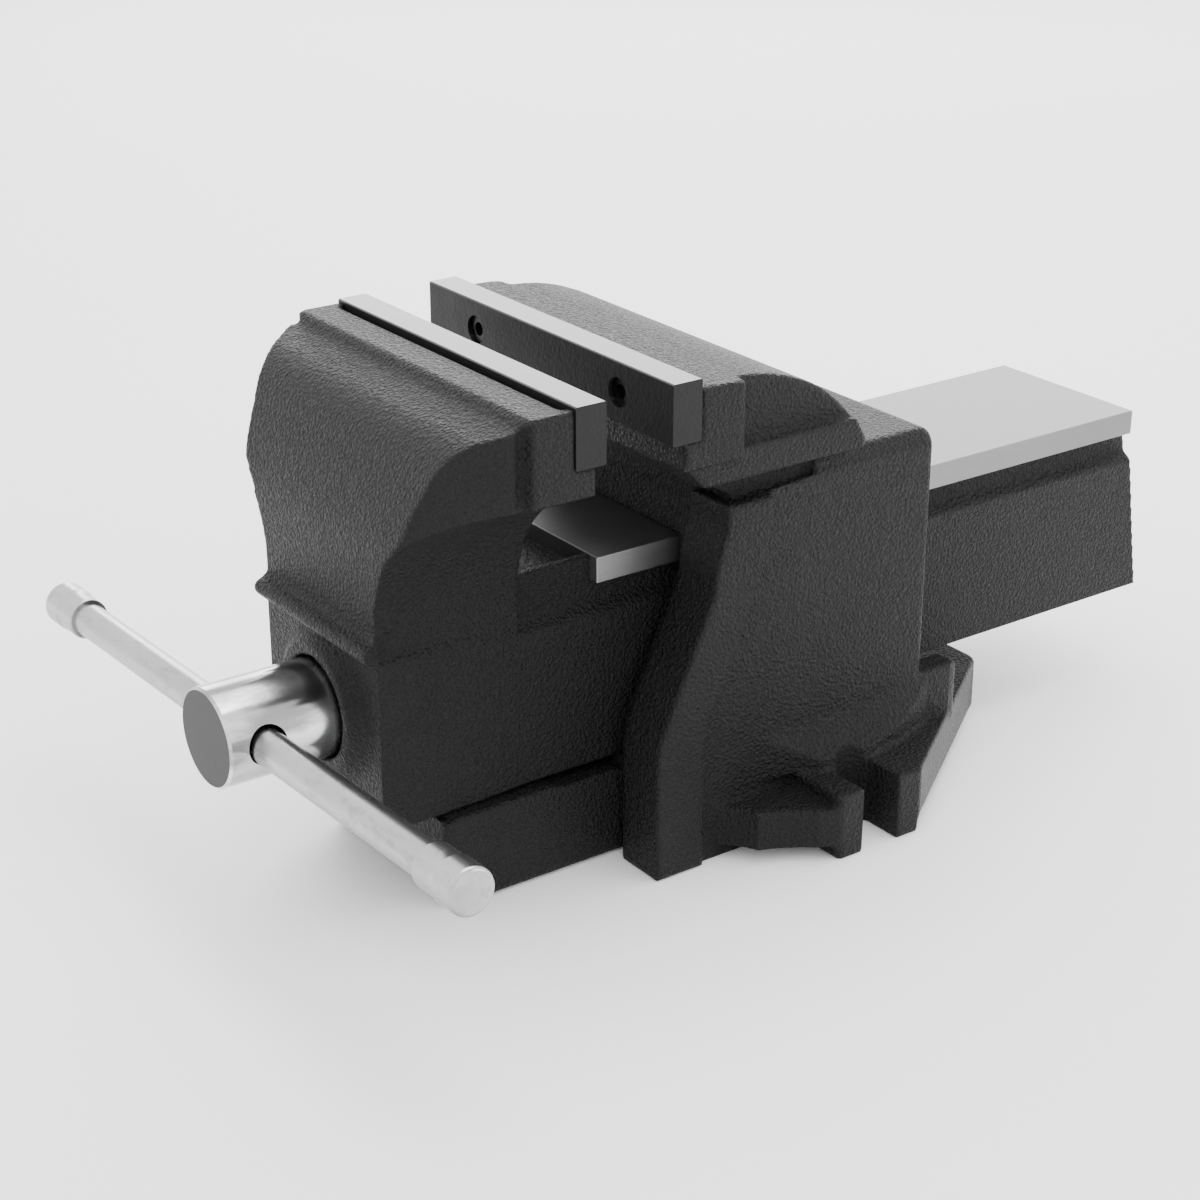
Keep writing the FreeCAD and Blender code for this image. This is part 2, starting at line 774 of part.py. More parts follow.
def spindle_nut():
    """Nut block standing on the channel's floor, bored for the screw."""
    half = driven("nut_half_width")
    front = driven("nut_front")
    length = driven("nut_length")
    foot = slide_bottom - driven("channel_gap")
    block = prism("nut_block", "XZ", [
        (-half, foot), (half, foot), (half, axis_height),
        (0, axis_height + half, half), (-half, axis_height, half),
    ], length, start=front)
    bore = cylinder("nut_bore", journal_radius + running_gap, length + 20,
                    (0, front - 10, axis_height), ALONG_Y)
    taps = [cylinder(f"nut_tap_{index}", 6, 18, (0, along, foot - 1), ALONG_Z)
            for index, along in enumerate(NUT_BOLTS)]
    return cut("spindle_nut_shape", block, [bore, *taps])


def nut_bolt(label):
    """Hexagon-head bolt from below: seat at z = 0, shank upwards."""
    corners = [(11 * math.cos(math.radians(60 * i)), 11 * math.sin(math.radians(60 * i)))
               for i in range(6)]
    head = prism(f"{label}_head", "XY", corners, 8, start=-8)
    shank = cylinder(f"{label}_shank", 6, 28.5, (0, 0, 0), ALONG_Z)
    return fused(f"{label}_shape", [head, shank])


# ---------------------------------------------------------------- spindle group

def spindle_head():
    """Polished round head with the cross hole for the bar."""
    front = -driven("head_front")
    rear = -driven("head_rear")
    radius = driven("head_radius")
    spigot = 11
    blank = turned("spindle_head_blank", "Y", [
        (0, front), (radius - 1.2, front), (radius, front + 1.2), (radius, rear - 2),
        (radius - 2, rear, 2), (spigot, rear), (spigot, rear - 28), (0, rear - 28),
    ])
    hole = cylinder("cross_hole", driven("bar_hole_radius"), 80,
                    (-40, front + driven("bar_behind_face"), 0), ALONG_X)
    return cut("spindle_head_shape", blank, [hole])


def spindle_screw():
    """Screw with its spigot in the head and a plain journal through the front wall."""
    rear = -driven("head_rear")
    spigot = 11
    end = driven("screw_end")
    blank = turned("spindle_screw_blank", "Y", [
        (0, rear - 28), (spigot, rear - 28), (spigot, rear), (journal_radius, rear),
        (journal_radius, end - 3), (journal_radius - 3, end), (0, end),
    ])
    pin_hole = cylinder("split_pin_hole", 2.5, 60, (0, SPLIT_PIN, -30), ALONG_Z)
    return cut("spindle_screw_shape", blank, [pin_hole])


def washer(label, inner, outer, start, thickness):
    return turned(label, "Y", [
        (inner, start), (outer, start), (outer, start + thickness), (inner, start + thickness),
    ])


SPLIT_PIN = -29.5
SPRING_START = -59.0
SPRING_END = -35.8
SPRING_WIRE = 1.6
SPRING_RADIUS = 19.5
SPRING_TURNS = 4


def return_spring():
    """Compression spring that keeps the head drawn against the jaw when the screw backs off."""
    travel = SPRING_END - SPRING_START - 2 * SPRING_WIRE - 0.2
    path = doc.addObject("Part::Helix", "spring_path")
    path.Pitch = travel / SPRING_TURNS
    path.Height = travel
    path.Radius = SPRING_RADIUS
    path.SegmentLength = 1
    wire = doc.addObject("Part::Circle", "spring_wire")
    wire.Radius = SPRING_WIRE
    wire.Placement = Placement(Vector(SPRING_RADIUS, 0, 0), Rotation(ALONG_X, 90))
    coil = doc.addObject("Part::Sweep", "return_spring_shape")
    coil.Sections = [wire]
    coil.Spine = (path, [f"Edge{turn + 1}" for turn in range(SPRING_TURNS)])
    coil.Solid = True
    coil.Frenet = True
    return coil


def split_pin():
    return turned("split_pin", "Y", [
        (0, -19), (2.5, -19), (2.5, 19), (0, 19),
    ])


# ---------------------------------------------------------------- tommy bar

def bar_rod():
    """Round bar along X with a spigot at each end for its knob."""
    far = -driven("bar_far_end")
    near = driven("bar_near_end")
    radius = driven("bar_radius")
    length = driven("knob_length")
    spigot = 5
    depth = 20
    return turned("tommy_bar_rod", "X", [
        (0, far + length - depth), (spigot, far + length - depth), (spigot, far + length),
        (radius, far + length), (radius, near - length), (spigot, near - length),
        (spigot, near - length + depth), (0, near - length + depth),
    ])


def bar_knob(label, seat, way):
    """Knob on one end of the bar: sleeve, swell and flat end. way is +1 or -1 along X."""
    radius = driven("knob_radius")
    length = driven("knob_length")
    spigot = 5
    depth = 20
    profile = [
        (0, depth), (spigot, depth), (spigot, 0), (radius - 1.6, 0), (radius - 0.6, 1, -1),
        (radius - 0.6, 9), (radius, 16, 26), (radius, length - 2), (radius - 2, length, -2),
        (0, length),
    ]
    return turned(label, "X", [
        (across, seat + way * station, *(way * bend for bend in bends))
        for across, station, *bends in profile
    ])


# ---------------------------------------------------------------- assembly

def renamed(piece, label):
    piece.Label = label
    return piece


fixed_piece = renamed(fixed_jaw_casting(), "fixed_jaw_casting")
moving_piece = renamed(moving_jaw_casting(), "moving_jaw_casting")
place(moving_piece, y=-opening)

fixed_plate = jaw_plate("fixed_jaw_plate")
place(fixed_plate, z=plate_bottom)
moving_plate = jaw_plate("moving_jaw_plate")
place(moving_plate, y=-opening, z=plate_bottom, turn=Rotation(ALONG_Z, 180))

head_seat = driven("counterbore_depth") - driven("screw_head_height")
screw_height = jaw_top - screw_drop
plate_screws = []
for side, sign in (("left", -1), ("right", 1)):
    screw = plate_screw(f"fixed_plate_screw_{side}")
    place(screw, sign * screw_half_spacing, head_seat, screw_height)
    plate_screws.append(screw)
    screw = plate_screw(f"moving_plate_screw_{side}")
    place(screw, sign * screw_half_spacing, -opening - head_seat, screw_height, Rotation(ALONG_Z, 180))
    plate_screws.append(screw)

nut_piece = renamed(spindle_nut(), "spindle_nut")
cavity_roof = 36
nut_bolts = []
nut_washers = []
for place_name, along in zip(("front", "rear"), NUT_BOLTS):
    ring = turned(f"nut_washer_{place_name}", "Y", [(6.6, 0), (12, 0), (12, 2.5), (6.6, 2.5)])
    place(ring, 0, along, cavity_roof - 2.5, Rotation(ALONG_X, 90))
    nut_washers.append(ring)
    bolt = renamed(nut_bolt(f"nut_bolt_{place_name}"), f"nut_bolt_{place_name}")
    place(bolt, 0, along, cavity_roof - 2.5)
    nut_bolts.append(bolt)

head_piece = renamed(spindle_head(), "spindle_head")
screw_piece = renamed(spindle_screw(), "spindle_screw")
ring_inner = journal_radius + 0.1
spindle_pieces = [
    head_piece,
    screw_piece,
    washer("thrust_washer", ring_inner, 24, -driven("head_rear"), 4),
    washer("spring_washer", ring_inner, 23, -61.9, 2.7),
    washer("retaining_washer", ring_inner, 22, -35.7, 3.2),
    renamed(return_spring(), "return_spring"),
]
for piece in spindle_pieces:
    place(piece, 0, -opening, axis_height, BAR_TURN)
spring_foot = SPRING_START + SPRING_WIRE + 0.1
place(spindle_pieces[-1], 0, -opening + spring_foot, axis_height, Rotation(ALONG_X, -90))
pin_piece = split_pin()
place(pin_piece, 0, -opening + SPLIT_PIN, axis_height, BAR_TURN * Rotation(ALONG_X, 90))

bar_station = -opening - driven("head_front") + driven("bar_behind_face")
knob_length = driven("knob_length")
rod_piece = bar_rod()
near_knob = bar_knob("bar_knob_right", driven("bar_near_end") - knob_length, 1)
far_knob = bar_knob("bar_knob_left", -driven("bar_far_end") + knob_length, -1)
for piece in (rod_piece, near_knob, far_knob):
    place(piece, 0, bar_station, axis_height - driven("bar_drop"), BAR_TURN)

doc.recompute()

subparts = [
    fixed_piece, moving_piece, fixed_plate, moving_plate, *plate_screws, nut_piece, *nut_bolts,
    *nut_washers, *spindle_pieces, pin_piece, rod_piece, near_knob, far_knob,
]
for item in doc.Objects:
    if "Invalid" in item.State or "Error" in item.State:
        raise RuntimeError(f"{item.Label} failed: {item.State}")
for piece in subparts:
    if piece.Shape.isNull() or not piece.Shape.isValid():
        raise RuntimeError(f"{piece.Label} has no valid shape")
for piece in subparts:
    piece.Shape.exportStep(f"parts/{piece.Label}.step")
    box_now = piece.Shape.optimalBoundingBox(False, False)
    print(f"{piece.Label:26s} solids {len(piece.Shape.Solids)} volume {piece.Shape.Volume / 1000:9.1f} cm3 "
          f"x {box_now.XMin:7.1f} {box_now.XMax:7.1f} y {box_now.YMin:7.1f} {box_now.YMax:7.1f} "
          f"z {box_now.ZMin:6.1f} {box_now.ZMax:6.1f}")
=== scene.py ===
import math

import bmesh
import bpy
import numpy as np
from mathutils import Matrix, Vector


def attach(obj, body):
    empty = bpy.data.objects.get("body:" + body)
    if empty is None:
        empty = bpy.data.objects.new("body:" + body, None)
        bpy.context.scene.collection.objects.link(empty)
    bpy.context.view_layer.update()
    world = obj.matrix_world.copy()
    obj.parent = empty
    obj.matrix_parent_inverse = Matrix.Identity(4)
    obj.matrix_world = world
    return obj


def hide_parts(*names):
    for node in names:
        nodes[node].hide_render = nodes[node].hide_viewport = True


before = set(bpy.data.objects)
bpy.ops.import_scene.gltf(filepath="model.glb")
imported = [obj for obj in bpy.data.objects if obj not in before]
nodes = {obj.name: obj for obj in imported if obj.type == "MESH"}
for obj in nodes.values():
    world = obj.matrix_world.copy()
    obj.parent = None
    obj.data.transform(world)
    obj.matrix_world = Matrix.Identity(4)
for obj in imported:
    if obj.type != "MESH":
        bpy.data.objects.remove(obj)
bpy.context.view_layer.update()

MM = 0.001

# The vise's own dimensions that the look needs, in millimetres.
FACE_Y = -36.0                    # the moving jaw's gripping face at rest
TAIL_WIDE = (124.0, 138.5)        # where the tail plate's slanting side starts, as x and y
TAIL_NARROW = (49.0, 245.0)       # where it ends
HEAD_FRONT = -186.0               # the spindle head's faced end
FLANGE_HALF = 49.5
FLANGE_START = 31.0 + FACE_Y
FLANGE_END = 390.0 + FACE_Y
FLANGE_BOTTOM = 143.9
FLANGE_TOP = 157.0
AXIS_HEIGHT = 96.0
SPIGOT_RADIUS = 11.0
SCREW_RADIUS = 15.0
SCREW_END = 345.0 + FACE_Y
SCREW_SHOULDER = -86.0 + FACE_Y
THREAD_ROOT = 12.4
THREAD_PITCH = 6.0


# ------------------------------------------------------------------ shader helpers

class Shader:
    """A material with one Principled surface, built up node by node."""

    def __init__(self, name):
        self.material = bpy.data.materials.new(name)
        self.material.use_nodes = True
        self.tree = self.material.node_tree
        self.surface = self.tree.nodes["Principled BSDF"]
        self.place = self.node("ShaderNodeTexCoord").outputs["Object"]

    def node(self, kind, **settings):
        made = self.tree.nodes.new(kind)
        for key, value in settings.items():
            setattr(made, key, value)
        return made

    def feed(self, socket, value):
        """Link another node's output, or set a plain number or colour."""
        if isinstance(value, bpy.types.NodeSocket):
            self.tree.links.new(value, socket)
        elif isinstance(value, (tuple, list)) and len(socket.default_value) == 4:
            socket.default_value = (*value[:3], 1.0)
        else:
            socket.default_value = value

    def set(self, **values):
        for key, value in values.items():
            self.feed(self.surface.inputs[key.replace("_", " ")], value)

    def math(self, operation, first, second=0.0, third=0.0):
        made = self.node("ShaderNodeMath", operation=operation)
        for socket, value in zip(made.inputs, (first, second, third)):
            self.feed(socket, value)
        return made.outputs[0]

    def axis(self, name, place=None):
        split = self.node("ShaderNodeSeparateXYZ")
        self.feed(split.inputs[0], place or self.place)
        return split.outputs[name]

    def normal_axis(self, name):
        return self.axis(name, self.node("ShaderNodeNewGeometry").outputs["Normal"])

    def noise(self, scale, detail=3.0, roughness=0.5, stretch=(1, 1, 1)):
        mapping = self.node("ShaderNodeMapping")
        self.feed(mapping.inputs["Vector"], self.place)
        mapping.inputs["Scale"].default_value = stretch
        made = self.node("ShaderNodeTexNoise")
        self.feed(made.inputs["Vector"], mapping.outputs[0])
        self.feed(made.inputs["Scale"], scale)
        self.feed(made.inputs["Detail"], detail)
        self.feed(made.inputs["Roughness"], roughness)
        return made.outputs[0]

    def cells(self, scale, feature="SMOOTH_F1"):
        made = self.node("ShaderNodeTexVoronoi", feature=feature)
        self.feed(made.inputs["Vector"], self.place)
        self.feed(made.inputs["Scale"], scale)
        return made.outputs["Distance"]

    def ramp(self, value, low, high):
        """0 below low, 1 above high, smooth between."""
        made = self.node("ShaderNodeMapRange", interpolation_type="SMOOTHSTEP", clamp=True)
        self.feed(made.inputs["Value"], value)
        self.feed(made.inputs["From Min"], low)
        self.feed(made.inputs["From Max"], high)
        return made.outputs["Result"]

    def span(self, value, low, high):
        """value from 0 to 1 stretched to low to high."""
        return self.math("MULTIPLY_ADD", value, high - low, low)

    def mix(self, factor, first, second):
        made = self.node("ShaderNodeMix", data_type="RGBA")
        self.feed(made.inputs["Factor"], factor)
        self.feed(made.inputs["A"], first)
        self.feed(made.inputs["B"], second)
        return made.outputs["Result"]

    def blend(self, factor, first, second):
        """first where the factor is 0, second where it is 1, as plain numbers."""
        made = self.node("ShaderNodeMix", data_type="FLOAT")
        self.feed(made.inputs["Factor"], factor)
        self.feed(made.inputs["A"], first)
        self.feed(made.inputs["B"], second)
        return made.outputs["Result"]

    def bump(self, height, depth_mm, strength=1.0, below=None):
        made = self.node("ShaderNodeBump")
        self.feed(made.inputs["Height"], height)
        self.feed(made.inputs["Distance"], depth_mm * MM)
        self.feed(made.inputs["Strength"], strength)
        if below is not None:
            self.feed(made.inputs["Normal"], below)
        return made.outputs["Normal"]


def grey(level):
    """A neutral colour of that linear level."""
    return (level, level, level * 1.01)


# ------------------------------------------------------------------ materials

def casting_paint(name, machined=None):
    """Hammered dark paint over rough iron. machined(shader) gives where bare ground metal shows."""
    s = Shader(name)
    broad = s.noise(26.0, 4.0)
    peel = s.math("ADD", s.cells(620.0), s.math("MULTIPLY", s.noise(1100.0, 3.0, 0.6), 0.8))
    lumps = s.noise(90.0, 3.0)
    colour = s.mix(broad, grey(0.004), grey(0.0075))
    # Light specks painted into the paint colour: painted glints of the hammered finish.
    painted_glint_specks = s.ramp(s.noise(420.0, 6.0, 0.75), 0.60, 0.78)
    colour = s.mix(s.math("MULTIPLY", painted_glint_specks, 0.5), colour, grey(0.035))
    # Convex edges lightened in patches: partly worn paint, partly a painted highlight along the
    # edges.
    raised = s.node("ShaderNodeNewGeometry").outputs["Pointiness"]
    patches = s.ramp(s.noise(160.0, 5.0, 0.7), 0.42, 0.62)
    worn = s.math("MULTIPLY", s.ramp(raised, 0.545, 0.60), patches)
    colour = s.mix(s.math("MULTIPLY", worn, 0.6), colour, grey(0.09))
    rough = s.span(s.ramp(s.noise(750.0, 4.0, 0.7), 0.35, 0.65), 0.30, 0.58)
    normal = s.bump(lumps, 1.2, 0.25)
    normal = s.bump(peel, 1.5, 1.0, normal)
    metal = 0.0
    if machined is not None:
        mask = machined(s)
        colour = s.mix(mask, colour, s.mix(s.noise(60.0, 5.0), grey(0.025), grey(0.075)))
        rough = s.blend(mask, rough, 0.42)
        metal = mask
    s.set(Base_Color=colour, Roughness=rough, Metallic=metal, Normal=normal)
    s.surface.inputs["Specular IOR Level"].default_value = 0.16
    return s.material


def machined_edges_of_base(s):
    """The two slanting sides of the tail plate are ground bare."""
    across = s.math("ABSOLUTE", s.axis("X"))
    along = s.axis("Y")
    # How far out a point lies along the slanting face's normal, against the face itself.
    run, rise = TAIL_WIDE[0] - TAIL_NARROW[0], TAIL_NARROW[1] - TAIL_WIDE[1]
    length = math.hypot(run, rise)
    out_x, out_y = rise / length, run / length
    reach = (TAIL_WIDE[0] * out_x + TAIL_WIDE[1] * out_y) * MM
    outward = s.math("ADD", s.math("MULTIPLY", across, out_x), s.math("MULTIPLY", along, out_y))
    near = s.ramp(outward, reach - 1.2 * MM, reach - 0.7 * MM)
    behind = s.ramp(along, 140.5 * MM, 142.0 * MM)
    worn = s.ramp(s.noise(240.0, 5.0, 0.7), 0.30, 0.42)
    return s.math("MULTIPLY", s.math("MULTIPLY", near, behind), worn)


def ground_steel(name, light, dark, grain, rough):
    """Bare machined steel with a fine grain, stretched by the factors in grain."""
    s = Shader(name)
    streaks = s.noise(900.0, 4.0, 0.6, grain)
    blotch = s.noise(30.0, 5.0)
    level = s.math("MULTIPLY_ADD", streaks, 0.5, s.math("MULTIPLY", blotch, 0.5))
    colour = s.mix(level, grey(dark), grey(light))
    s.set(Base_Color=colour, Metallic=1.0, Roughness=s.span(level, *rough),
          Normal=s.bump(streaks, 0.03, 0.5))
    return s.material


def handled_steel(name):
    """Plated bar steel: long smears of handling, and painted shade darkening the underside."""
    s = Shader(name)
    smear = s.noise(60.0, 5.0, 0.65, (0.12, 1, 1))
    spots = s.ramp(s.noise(170.0, 5.0, 0.7, (0.5, 1, 1)), 0.50, 0.72)
    # Painted shade: faces turned downward are darkened in the colour.
    underside_painted_shade = s.ramp(s.normal_axis("Z"), 0.25, -0.75)
    colour = s.mix(smear, grey(0.24), grey(0.56))
    colour = s.mix(s.math("MULTIPLY", spots, 0.45), colour, grey(0.18))
    colour = s.mix(s.math("MULTIPLY", underside_painted_shade, 0.6), colour, grey(0.12))
    s.set(Base_Color=colour, Metallic=1.0, Roughness=s.span(smear, 0.36, 0.20),
          Normal=s.bump(s.noise(220.0, 4.0, 0.6, (0.2, 1, 1)), 0.12, 0.6))
    return s.material


def jaw_plate_steel(name):
    """Top ground bright, the other faces dark and lightly pitted."""
    s = Shader(name)
    top = s.ramp(s.normal_axis("Z"), 0.55, 0.75)
    streaks = s.noise(700.0, 4.0, 0.6, (0.08, 1, 1))
    bright = s.mix(streaks, grey(0.06), grey(0.095))
    peel = s.cells(620.0)
    dark = s.mix(s.noise(60.0, 4.0), grey(0.004), grey(0.009))
    colour = s.mix(top, dark, bright)
    normal = s.bump(s.blend(top, peel, s.math("MULTIPLY", streaks, 0.1)), 0.15, 0.8)
    rough = s.blend(top, s.span(s.noise(80.0), 0.40, 0.55), 0.30)
    s.surface.inputs["Specular IOR Level"].default_value = 0.17
    s.set(Base_Color=colour, Metallic=top, Roughness=rough, Normal=normal)
    return s.material


def polished_steel(name, front_y):
    """Mirror-bright barrel with a dull faced end at front_y."""
    s = Shader(name)
    turned_forward = s.ramp(s.normal_axis("Y"), -0.75, -0.9)
    at_the_front = s.math("LESS_THAN", s.axis("Y"), front_y + 0.4 * MM)
    end = s.math("MULTIPLY", turned_forward, at_the_front)
    smear = s.noise(45.0, 4.0, 0.6, (1, 0.35, 1))
    barrel = s.mix(s.ramp(smear, 0.32, 0.62), grey(0.26), grey(0.72))
    face = s.mix(s.noise(300.0, 5.0), grey(0.024), grey(0.036))
    colour = s.mix(end, barrel, face)
    rough = s.blend(end, s.span(smear, 0.22, 0.08), 0.45)
    s.set(Base_Color=colour, Metallic=1.0, Roughness=rough,
          Normal=s.bump(s.noise(70.0, 3.0), 0.25, 0.25))
    return s.material


materials = {
    "fixed_cast": casting_paint("fixed_cast_paint", machined_edges_of_base),
    "moving_cast": casting_paint("moving_cast_paint"),
    "plate": jaw_plate_steel("jaw_plate_steel"),
    "flange": ground_steel("ground_flange", 0.25, 0.14, (1, 0.12, 1), (0.40, 0.55)),
    "black": ground_steel("blackened_steel", 0.05, 0.025, (1, 1, 1), (0.35, 0.5)),
    "head": polished_steel("polished_head", HEAD_FRONT * MM),
    "bar": handled_steel("satin_bar"),
    "thread": ground_steel("greased_thread", 0.34, 0.20, (1, 1, 1), (0.28, 0.45)),
    "nut": ground_steel("nut_iron", 0.14, 0.07, (1, 1, 1), (0.45, 0.6)),
    "spring": ground_steel("oiled_steel", 0.26, 0.14, (1, 1, 1), (0.3, 0.45)),
}


def paint(thing, name):
    """Give the whole piece one of the materials above."""
    thing.data.materials.clear()
    thing.data.materials.append(materials[name])


NODE_MATERIALS = {
    "fixed_jaw_casting": "fixed_cast",
    "moving_jaw_casting": "moving_cast",
    "fixed_jaw_plate": "plate",
    "moving_jaw_plate": "plate",
    "fixed_plate_screw_left": "black",
    "fixed_plate_screw_right": "black",
    "moving_plate_screw_left": "black",
    "moving_plate_screw_right": "black",
    "spindle_nut": "nut",
    "nut_bolt_front": "black",
    "nut_bolt_rear": "black",
    "nut_washer_front": "spring",
    "nut_washer_rear": "spring",
    "spindle_head": "head",
    "spindle_screw": "thread",
    "thrust_washer": "spring",
    "spring_washer": "spring",
    "retaining_washer": "spring",
    "return_spring": "spring",
    "split_pin": "spring",
    "tommy_bar_rod": "bar",
    "bar_knob_left": "bar",
    "bar_knob_right": "bar",
}
for name, look in NODE_MATERIALS.items():
    for slot in nodes[name].material_slots:
        slot.material = materials[look]


# ------------------------------------------------------------------ castings with soft edges

def new_object(name, mesh):
    thing = bpy.data.objects.new(name, mesh)
    bpy.context.scene.collection.objects.link(thing)
    return thing


def evaluated_mesh(thing):
    """The mesh with its modifiers applied, as a new mesh."""
    graph = bpy.context.evaluated_depsgraph_get()
    return bpy.data.meshes.new_from_object(thing.evaluated_get(graph), depsgraph=graph)


def cast_copy(node, name, voxel_mm, rounds):
    """A copy of a CAD casting with its edges softened the way cast iron leaves them."""
    source = nodes[node].data.copy()
    welded = bmesh.new()
    welded.from_mesh(source)
    bmesh.ops.remove_doubles(welded, verts=welded.verts, dist=0.004 * MM)
    welded.to_mesh(source)
    welded.free()
    rough = new_object(f"{name}_source", source)
    remesh = rough.modifiers.new("remesh", "REMESH")
    remesh.mode = "VOXEL"
    remesh.voxel_size = voxel_mm * MM
    smooth = rough.modifiers.new("smooth", "SMOOTH")
    smooth.factor = 0.5
    smooth.iterations = rounds
    mesh = evaluated_mesh(rough)
    bpy.data.objects.remove(rough)
    mesh.name = name
    for polygon in mesh.polygons:
        polygon.use_smooth = True
    return new_object(name, mesh)


def coordinates(mesh):
    """Every vertex of the mesh, one row each."""
    values = np.empty(len(mesh.vertices) * 3)
    mesh.vertices.foreach_get("co", values)
    return values.reshape(-1, 3)


def store(mesh, points):
    """Put the rows that coordinates() gave back on the mesh."""
    mesh.vertices.foreach_set("co", points.ravel())
    mesh.update()


voxel = 1.3
SMOOTHING_ROUNDS = 3
fixed_cast = cast_copy("fixed_jaw_casting", "fixed_jaw_cast", voxel, SMOOTHING_ROUNDS)
paint(fixed_cast, "fixed_cast")
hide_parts("fixed_jaw_casting")
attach(fixed_cast, "fixed_jaw")

moving_cast = cast_copy("moving_jaw_casting", "moving_jaw_cast", voxel, SMOOTHING_ROUNDS)
points = coordinates(moving_cast.data)
x, y, z = points[:, 0], points[:, 1], points[:, 2]

# The flange's part of the casting draws back inside the crisp flange that covers it.
flange_front = FLANGE_START * MM
in_flange = (z > 143.0 * MM) & (z < 158.0 * MM) & (y > flange_front - 1.5 * MM)
in_flange &= np.abs(x) < 51.0 * MM
near_front = in_flange & (y < flange_front + 2 * MM)
x[in_flange] *= 0.985
y[near_front] += 1.0 * MM
z[in_flange] -= 0.6 * MM * np.clip((z[in_flange] - 143.0 * MM) / (6 * MM), 0, 1)

# The slide keeps a little more clearance in its channel than the remesh leaves.
shrink = np.clip((y + 60 * MM) / (14 * MM), 0, 1) * (z < 158.0 * MM)
x *= 1 - 0.010 * shrink
z += 0.6 * MM * shrink * np.clip((62.0 * MM - z) / (10 * MM), 0, 1)
store(moving_cast.data, points)
paint(moving_cast, "moving_cast")
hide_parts("moving_jaw_casting")
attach(moving_cast, "moving_jaw")


def bevelled_block(name, low, high, bevel_mm):
    """A crisp block between two corners in millimetres."""
    mesh = bpy.data.meshes.new(name)
    block = bmesh.new()
    bmesh.ops.create_cube(block, size=1.0)
    low, high = Vector(low) * MM, Vector(high) * MM
    for vert in block.verts:
        vert.co = Vector(low[i] + (vert.co[i] + 0.5) * (high[i] - low[i]) for i in range(3))
    bmesh.ops.bevel(block, geom=block.edges[:], offset=bevel_mm * MM, segments=3,
                    profile=0.5, affect="EDGES")
    block.to_mesh(mesh)
    block.free()
    return new_object(name, mesh)


flange = bevelled_block("slide_flange", (-FLANGE_HALF, FLANGE_START, FLANGE_BOTTOM),
                        (FLANGE_HALF, FLANGE_END, FLANGE_TOP), 0.5)
paint(flange, "flange")
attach(flange, "moving_jaw")

# ------------------------------------------------------------------ threaded screw

def lathe(mesh, profile, sides):
    """Add a closed surface of revolution about the Y axis; profile is (radius, y) in millimetres."""
    rings = []
    for radius, along in profile:
        ring = []
        for step in range(sides):
            angle = 2 * math.pi * step / sides
            place = Vector((radius * math.sin(angle), along, radius * math.cos(angle)))
            ring.append(mesh.verts.new(place * MM))
        rings.append(ring)
    for near, far in zip(rings, rings[1:]):
        for step in range(sides):
            after = (step + 1) % sides
            mesh.faces.new((near[step], near[after], far[after], far[step]))
    mesh.faces.new(rings[0][::-1])
    mesh.faces.new(rings[-1])


def thread(mesh, start, end, pitch, root, crest, sides):
    """Add a right-hand trapezoidal thread about the Y axis between two stations."""
    profile = [(0.0, root), (0.30 * pitch, root), (0.46 * pitch, crest), (0.84 * pitch, crest)]
    steps = int((end - start - pitch) / pitch * sides)
    rows = []
    for step in range(steps + 1):
        angle = 2 * math.pi * step / sides
        row = []
        for along, radius in profile:
            place = Vector((radius * math.sin(angle), start + pitch * step / sides + along,
                            radius * math.cos(angle)))
            row.append(mesh.verts.new(place * MM))
        rows.append(row)
    for step in range(steps):
        here, after = rows[step], rows[step + 1]
        for left, right in ((0, 1), (1, 2), (2, 3)):
            mesh.faces.new((here[left], after[left], after[right], here[right]))
        if step + 1 + sides <= steps:
            mesh.faces.new((here[3], after[3], rows[step + 1 + sides][0], rows[step + sides][0]))
    mesh.faces.new(rows[-1])


THREAD_START = -14.0 + FACE_Y     # where the plain journal ends
LATHE_SIDES = 48
thread_sides = 32
shape = bmesh.new()
lathe(shape, [(SPIGOT_RADIUS, -114.0 + FACE_Y), (SPIGOT_RADIUS, SCREW_SHOULDER),
              (SCREW_RADIUS, SCREW_SHOULDER), (SCREW_RADIUS, THREAD_START),
              (THREAD_ROOT, -11.5 + FACE_Y)], LATHE_SIDES)
lathe(shape, [(THREAD_ROOT - 0.1, THREAD_START), (THREAD_ROOT - 0.1, 343.5 + FACE_Y),
              (THREAD_ROOT - 1.5, SCREW_END)], LATHE_SIDES)
thread(shape, -15.0 + FACE_Y, 343.0 + FACE_Y, THREAD_PITCH, THREAD_ROOT, SCREW_RADIUS, thread_sides)
bmesh.ops.recalc_face_normals(shape, faces=shape.faces)
screw_mesh = bpy.data.meshes.new("threaded_screw")
shape.to_mesh(screw_mesh)
shape.free()
screw = new_object("threaded_screw", screw_mesh)
screw.location.z = AXIS_HEIGHT * MM
paint(screw, "thread")
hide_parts("spindle_screw")
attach(screw, "spindle")

# ------------------------------------------------------------------ camera, floor and light

CAMERA_PLACE = (0.8905, -0.6070, 0.5858)
CAMERA_TARGET = (0.0952, -0.0360, 0.1597)
FLOOR_HALF = 12.0
WORLD_STRENGTH = 2.3


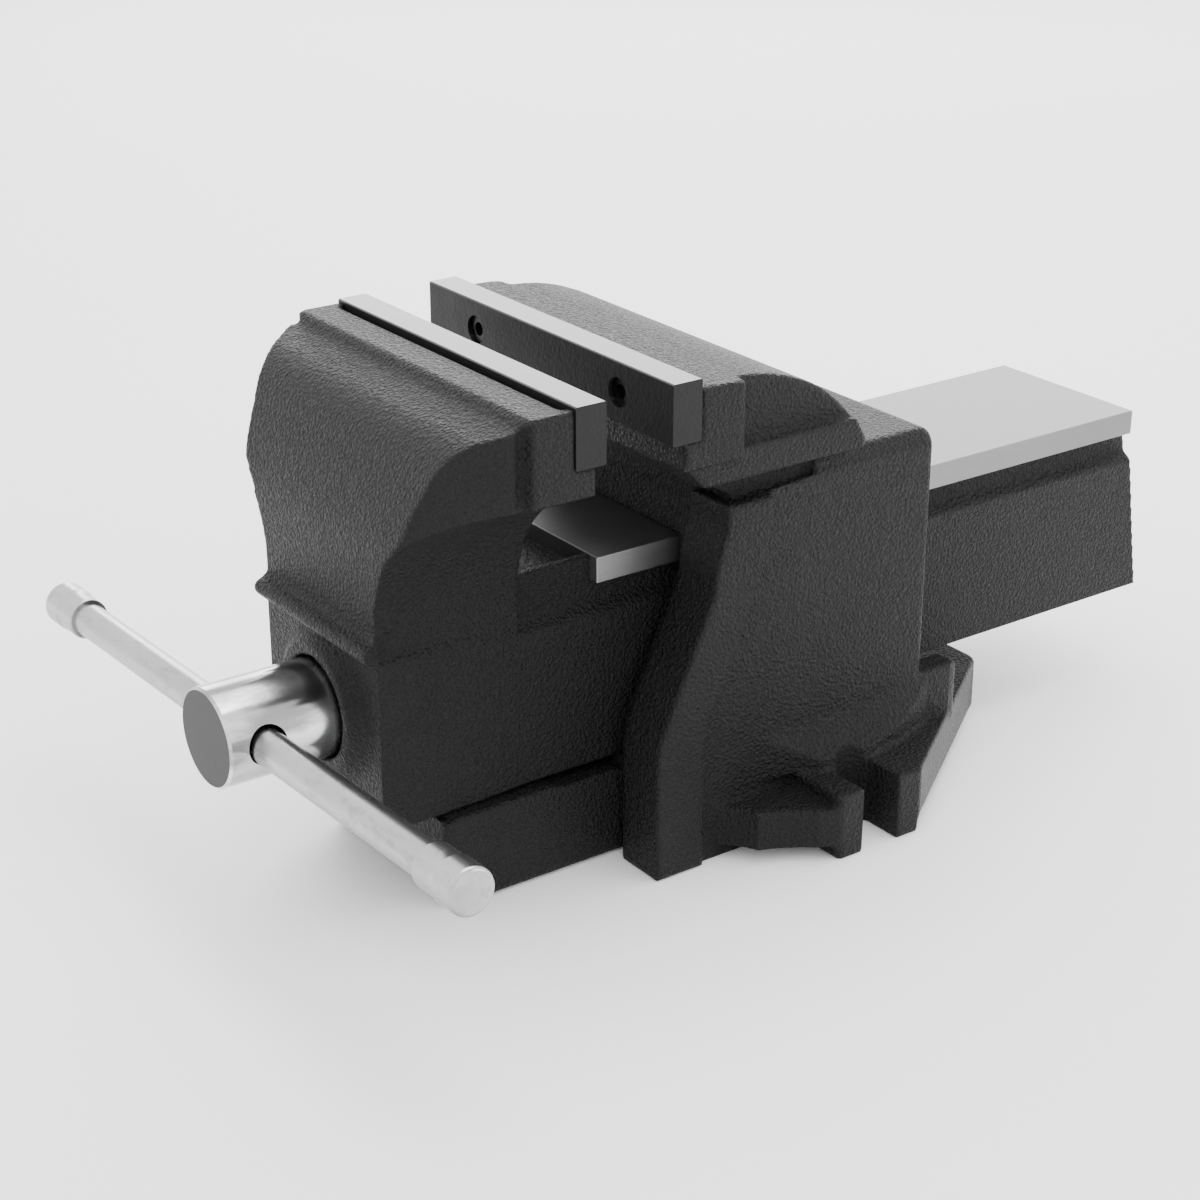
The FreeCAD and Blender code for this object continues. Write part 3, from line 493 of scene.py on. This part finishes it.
def turn_towards(thing, target):
    """Point the thing's -Z axis at the target, with its Y axis up."""
    aim = Vector(target) - thing.location
    thing.rotation_euler = aim.to_track_quat("-Z", "Y").to_euler()


camera = new_object("camera", bpy.data.cameras.new("camera"))
camera.data.lens = 72.26
camera.data.sensor_width = 36.0
camera.data.clip_start = 0.05
camera.data.clip_end = 60.0
camera.data.dof.use_dof = False
camera.location = CAMERA_PLACE
turn_towards(camera, CAMERA_TARGET)
bpy.context.scene.camera = camera


def floor_material():
    s = Shader("studio_floor")
    s.set(Base_Color=s.mix(s.noise(3.0, 2.0), grey(0.88), grey(0.90)), Roughness=0.7)
    return s.material


floor_mesh = bpy.data.meshes.new("floor")
corners = [(-FLOOR_HALF, -FLOOR_HALF, 0), (FLOOR_HALF, -FLOOR_HALF, 0),
           (FLOOR_HALF, FLOOR_HALF, 0), (-FLOOR_HALF, FLOOR_HALF, 0)]
floor_mesh.from_pydata(corners, [], [(0, 1, 2, 3)])
floor = new_object("floor", floor_mesh)
floor.location.z = -0.2 * MM
floor.data.materials.append(floor_material())


def area_light(name, place, target, size, watts):
    """A soft rectangular lamp at a place, turned towards its target."""
    light = bpy.data.lights.new(name, "AREA")
    light.shape = "RECTANGLE"
    light.size, light.size_y = size
    light.energy = watts
    lamp = new_object(name, light)
    lamp.location = place
    turn_towards(lamp, target)


area_light("overhead", (-0.2, 0.4, 2.0), (0.0, 0.0, 0.15), (1.8, 1.4), 42)
area_light("back_sweep", (-1.9, 1.7, 1.0), (0.0, 0.0, 0.15), (2.4, 1.0), 50)
area_light("left_front", (-0.9, -1.8, 1.3), (0.0, -0.1, 0.12), (0.9, 1.0), 3)
area_light("right_rim", (1.5, 1.2, 0.45), (0.05, 0.05, 0.12), (0.9, 0.7), 9)

world = bpy.data.worlds.new("studio")
bpy.context.scene.world = world
world.use_nodes = True
background = world.node_tree.nodes["Background"]
background.inputs["Color"].default_value = (1.0, 1.0, 1.0, 1.0)
background.inputs["Strength"].default_value = WORLD_STRENGTH
